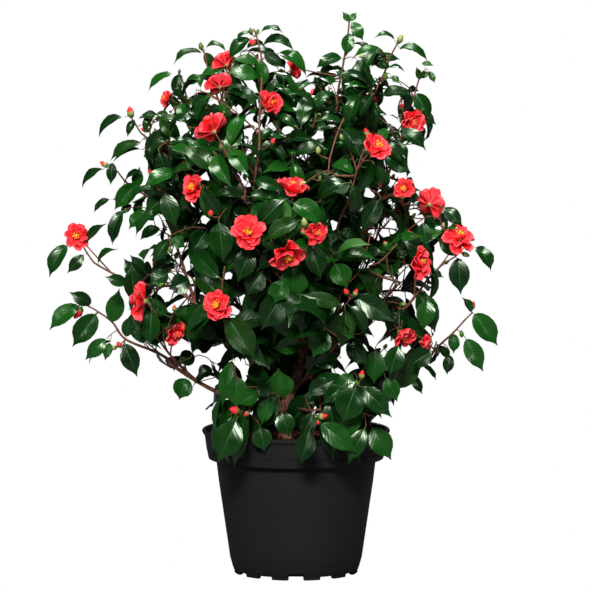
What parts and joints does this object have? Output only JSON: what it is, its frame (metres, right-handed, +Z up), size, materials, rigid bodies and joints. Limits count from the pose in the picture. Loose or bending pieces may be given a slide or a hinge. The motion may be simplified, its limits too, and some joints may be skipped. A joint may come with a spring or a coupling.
{
  "type": "potted camellia shrub",
  "caption": "Bushy evergreen camellia shrub in flower, many-stemmed, in a round black nursery pot that it was grown in.",
  "frame": {"origin": "on the pot's axis at the underside of the pot's centre foot, level with the feet that it stands on", "axes": "+Z up, along the pot's axis; -Y towards the front of the plant; +X to its right as seen from the front"},
  "size_m": [0.7814, 0.6908, 0.9953],
  "materials": {
    "pot": "satin black moulded plastic",
    "soil": "rough bark-based potting compost",
    "bark": "rough red-brown bark, smoother on the young twigs",
    "foliage": "glossy dark green leaves, with coral-red blossom",
    "blossom": "soft coral-red petals"
  },
  "bodies": {
    "root": {"pot": "pot", "soil": "soil", "trunk": "bark", "bough_left_low": "bark", "bough_front_left": "bark", "bough_left": "bark", "bough_front_right": "bark", "bough_right_low": "bark", "bough_back": "bark", "bough_front": "bark", "bough_back_left": "bark", "bough_right": "bark", "bough_back_right": "bark", "bough_left_high": "bark", "bough_right_high": "bark", "bough_top_left": "bark", "bough_top": "bark", "foliage_left_low": "foliage", "foliage_left_front": "foliage", "foliage_front_left": "foliage", "foliage_low_front_left": "foliage", "foliage_left_mid": "foliage", "foliage_left_mid_high": "foliage", "foliage_front_right": "foliage", "foliage_low_front_right": "foliage", "foliage_right_low": "foliage", "foliage_low_right": "foliage", "foliage_back_centre": "foliage", "foliage_back_low": "foliage", "foliage_front_centre": "foliage", "foliage_front_middle": "foliage", "foliage_back_left": "foliage", "foliage_back_left_high": "foliage", "foliage_right_mid": "foliage", "foliage_right_front": "foliage", "foliage_back_right": "foliage", "foliage_back_right_high": "foliage", "foliage_left_high": "foliage", "foliage_left_shoulder": "foliage", "foliage_right_high": "foliage", "foliage_right_shoulder": "foliage", "foliage_upper_front_right": "foliage", "foliage_top_left": "foliage", "foliage_top_front": "foliage", "foliage_upper_front_left": "foliage", "foliage_top_leader": "foliage", "foliage_top_right": "foliage", "foliage_upper_front": "foliage", "foliage_top_back": "foliage"}
  },
  "joints": []
}
